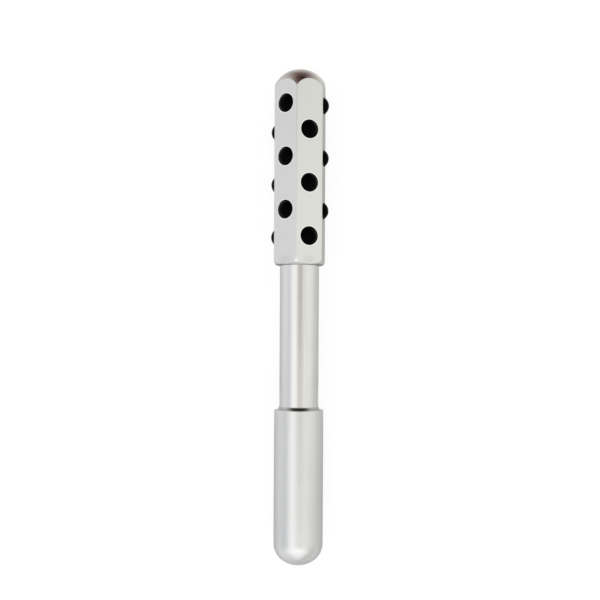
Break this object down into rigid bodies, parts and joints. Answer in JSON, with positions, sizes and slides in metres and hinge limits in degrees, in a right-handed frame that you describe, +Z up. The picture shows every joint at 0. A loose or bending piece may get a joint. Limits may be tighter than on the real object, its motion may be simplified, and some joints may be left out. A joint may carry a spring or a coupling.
{
  "type": "bead roller massage stick",
  "caption": "Hand-held facial massager: a hexagonal metal head whose faces hold freely rolling black beads, on a round neck with a thicker rounded handle cap.",
  "frame": {"origin": "centre of the bounding box at table level: under the middle of the stick's axis, where the lowest corner and the lowest row of beads touch the table", "axes": "+Y along the stick from the handle cap to the domed tip, +Z up from the table, +X to the right seen from above"},
  "size_m": [0.0178, 0.154, 0.017],
  "materials": {
    "head_metal": "fine-blasted satin silver anodising",
    "neck_metal": "smooth satin silver anodising",
    "cap_metal": "coarser blasted satin silver anodising",
    "bead_black": "polished black",
    "core_plastic": "plain turned low-friction plastic",
    "plug_brass": "plain turned",
    "stud_steel": "plain turned"
  },
  "bodies": {
    "stick": {"head_shell": "head_metal", "bead_core": "core_plastic", "core_bush": "core_plastic", "neck_tube": "neck_metal", "neck_plug": "plug_brass", "joint_stud": "stud_steel", "handle_cap": "cap_metal"},
    "rolling_bead_1_1": {"bead_1_1": "bead_black"},
    "rolling_bead_1_2": {"bead_1_2": "bead_black"},
    "rolling_bead_1_3": {"bead_1_3": "bead_black"},
    "rolling_bead_2_1": {"bead_2_1": "bead_black"},
    "rolling_bead_2_2": {"bead_2_2": "bead_black"},
    "rolling_bead_2_3": {"bead_2_3": "bead_black"},
    "rolling_bead_3_1": {"bead_3_1": "bead_black"},
    "rolling_bead_3_2": {"bead_3_2": "bead_black"},
    "rolling_bead_3_3": {"bead_3_3": "bead_black"},
    "rolling_bead_4_1": {"bead_4_1": "bead_black"},
    "rolling_bead_4_2": {"bead_4_2": "bead_black"},
    "rolling_bead_4_3": {"bead_4_3": "bead_black"},
    "rolling_bead_5_1": {"bead_5_1": "bead_black"},
    "rolling_bead_5_2": {"bead_5_2": "bead_black"},
    "rolling_bead_5_3": {"bead_5_3": "bead_black"},
    "rolling_bead_6_1": {"bead_6_1": "bead_black"},
    "rolling_bead_6_2": {"bead_6_2": "bead_black"},
    "rolling_bead_6_3": {"bead_6_3": "bead_black"}
  },
  "joints": [
    {"name": "bead_1_1_roll", "type": "hinge", "parent": "stick", "child": "rolling_bead_1_1", "pos_m": [-0.00358, 0.0656, 0.01323], "axis": [0, 1, 0], "continuous": true},
    {"name": "bead_1_2_roll", "type": "hinge", "parent": "stick", "child": "rolling_bead_1_2", "pos_m": [-0.00358, 0.0493, 0.01323], "axis": [0, 1, 0], "continuous": true},
    {"name": "bead_1_3_roll", "type": "hinge", "parent": "stick", "child": "rolling_bead_1_3", "pos_m": [-0.00358, 0.033, 0.01323], "axis": [0, 1, 0], "continuous": true},
    {"name": "bead_2_1_roll", "type": "hinge", "parent": "stick", "child": "rolling_bead_2_1", "pos_m": [0.00232, 0.05745, 0.01395], "axis": [0, 1, 0], "continuous": true},
    {"name": "bead_2_2_roll", "type": "hinge", "parent": "stick", "child": "rolling_bead_2_2", "pos_m": [0.00232, 0.04115, 0.01395], "axis": [0, 1, 0], "continuous": true},
    {"name": "bead_2_3_roll", "type": "hinge", "parent": "stick", "child": "rolling_bead_2_3", "pos_m": [0.00232, 0.02485, 0.01395], "axis": [0, 1, 0], "continuous": true},
    {"name": "bead_3_1_roll", "type": "hinge", "parent": "stick", "child": "rolling_bead_3_1", "pos_m": [0.00591, 0.0656, 0.0092], "axis": [0, 1, 0], "continuous": true},
    {"name": "bead_3_2_roll", "type": "hinge", "parent": "stick", "child": "rolling_bead_3_2", "pos_m": [0.00591, 0.0493, 0.0092], "axis": [0, 1, 0], "continuous": true},
    {"name": "bead_3_3_roll", "type": "hinge", "parent": "stick", "child": "rolling_bead_3_3", "pos_m": [0.00591, 0.033, 0.0092], "axis": [0, 1, 0], "continuous": true},
    {"name": "bead_4_1_roll", "type": "hinge", "parent": "stick", "child": "rolling_bead_4_1", "pos_m": [0.00358, 0.05745, 0.00373], "axis": [0, 1, 0], "continuous": true},
    {"name": "bead_4_2_roll", "type": "hinge", "parent": "stick", "child": "rolling_bead_4_2", "pos_m": [0.00358, 0.04115, 0.00373], "axis": [0, 1, 0], "continuous": true},
    {"name": "bead_4_3_roll", "type": "hinge", "parent": "stick", "child": "rolling_bead_4_3", "pos_m": [0.00358, 0.02485, 0.00373], "axis": [0, 1, 0], "continuous": true},
    {"name": "bead_5_1_roll", "type": "hinge", "parent": "stick", "child": "rolling_bead_5_1", "pos_m": [-0.00232, 0.0656, 0.003], "axis": [0, 1, 0], "continuous": true},
    {"name": "bead_5_2_roll", "type": "hinge", "parent": "stick", "child": "rolling_bead_5_2", "pos_m": [-0.00232, 0.0493, 0.003], "axis": [0, 1, 0], "continuous": true},
    {"name": "bead_5_3_roll", "type": "hinge", "parent": "stick", "child": "rolling_bead_5_3", "pos_m": [-0.00232, 0.033, 0.003], "axis": [0, 1, 0], "continuous": true},
    {"name": "bead_6_1_roll", "type": "hinge", "parent": "stick", "child": "rolling_bead_6_1", "pos_m": [-0.00591, 0.05745, 0.00775], "axis": [0, 1, 0], "continuous": true},
    {"name": "bead_6_2_roll", "type": "hinge", "parent": "stick", "child": "rolling_bead_6_2", "pos_m": [-0.00591, 0.04115, 0.00775], "axis": [0, 1, 0], "continuous": true},
    {"name": "bead_6_3_roll", "type": "hinge", "parent": "stick", "child": "rolling_bead_6_3", "pos_m": [-0.00591, 0.02485, 0.00775], "axis": [0, 1, 0], "continuous": true}
  ]
}
